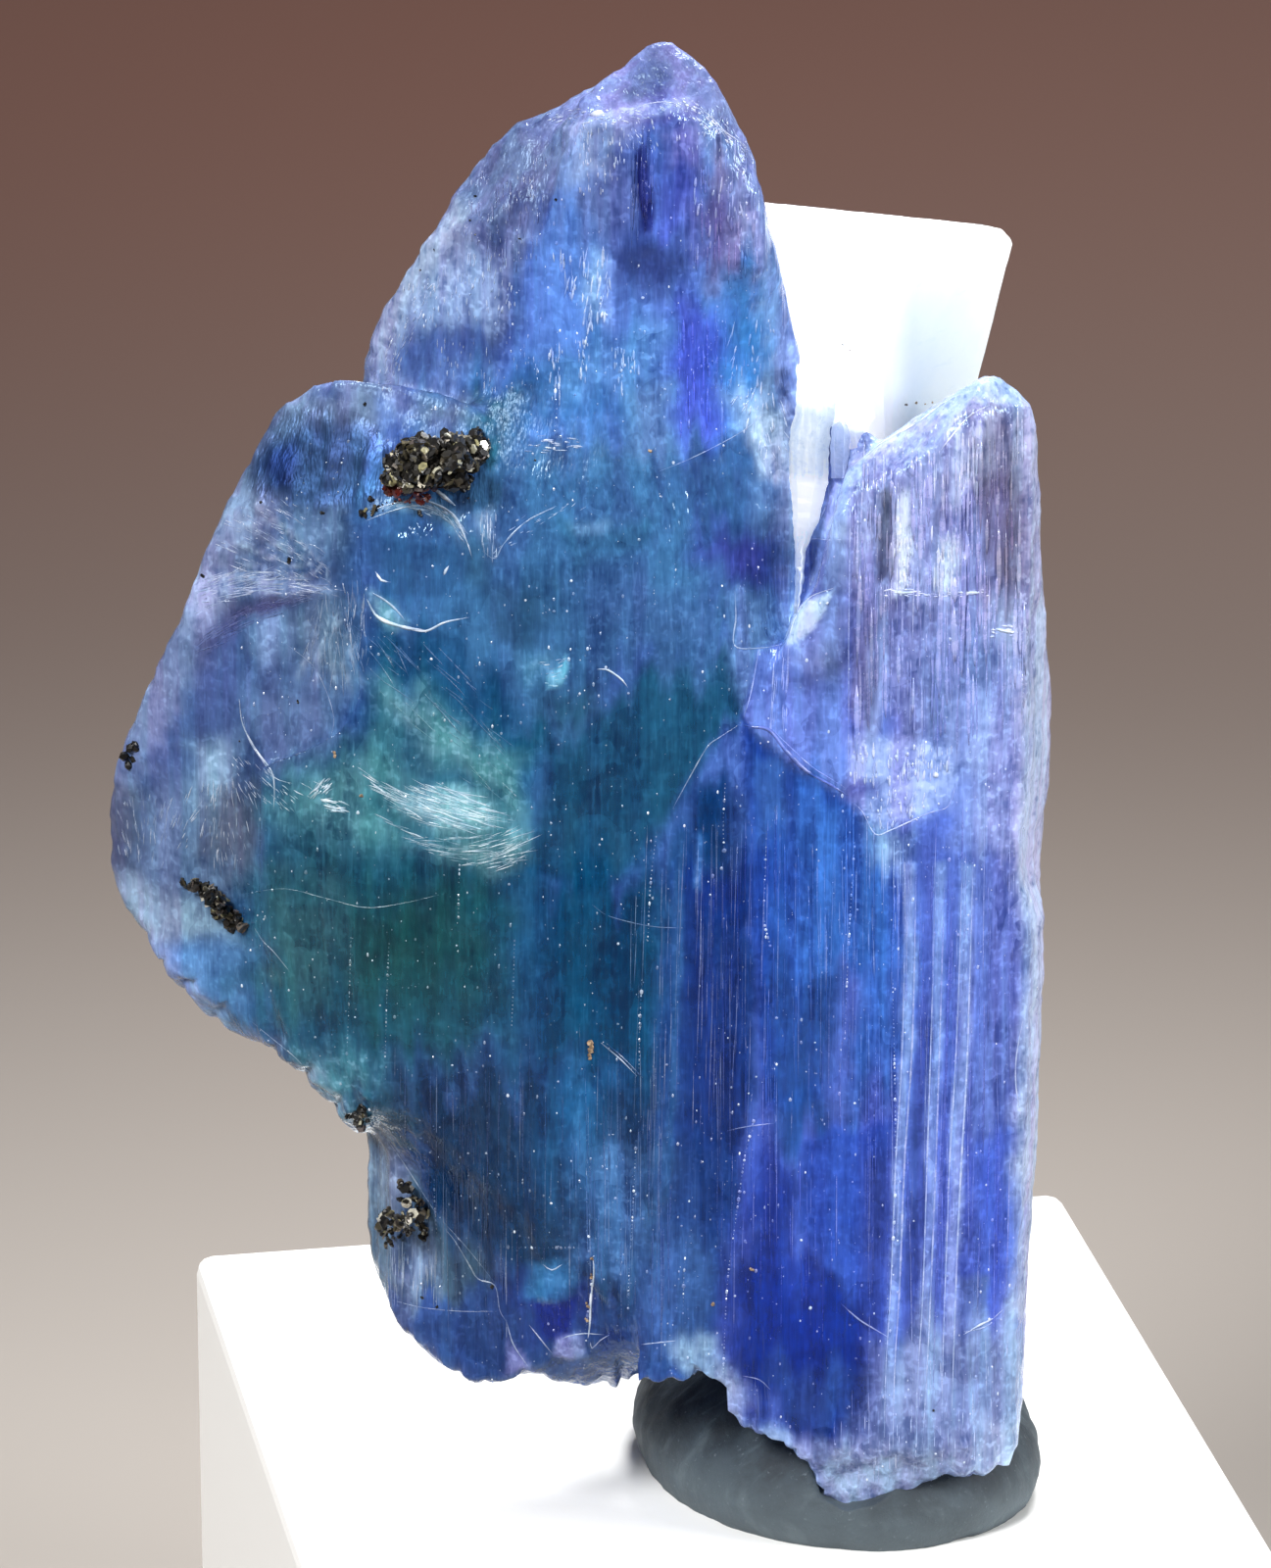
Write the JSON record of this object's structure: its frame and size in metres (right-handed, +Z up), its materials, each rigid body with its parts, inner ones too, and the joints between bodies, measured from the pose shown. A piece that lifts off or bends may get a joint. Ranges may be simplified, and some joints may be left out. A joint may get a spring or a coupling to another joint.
{
  "type": "tanzanite crystal specimen on a display block",
  "caption": "Upright striated blue to violet crystal blades with a white rhombic crystal in the notch behind them, held by putty on a small white block.",
  "frame": {"origin": "middle of the display block's underside", "axes": "+Z up along the crystal's length, +Y to the back, +X to the right as seen from the front of the crystal"},
  "size_m": [0.0139, 0.0134, 0.0256],
  "materials": {
    "tanzanite": "clear blue, violet and teal crystal with fine upright growth lines, internal cracks and a frosted tip",
    "calcite": "milky white translucent crystal with smooth faces and a few rust specks",
    "graphite": "black to golden grey metallic grains with bright glints",
    "putty": "dark grey-green mounting putty, dull, pressed by hand",
    "block": "plain white, smooth, softly rounded edges"
  },
  "bodies": {
    "root": {"tanzanite_crystal": "tanzanite", "calcite_crystal": "calcite", "graphite_upper": "graphite", "graphite_left": "graphite", "graphite_lower": "graphite", "graphite_bead": "graphite", "mounting_putty": "putty", "display_block": "block"}
  },
  "joints": []
}
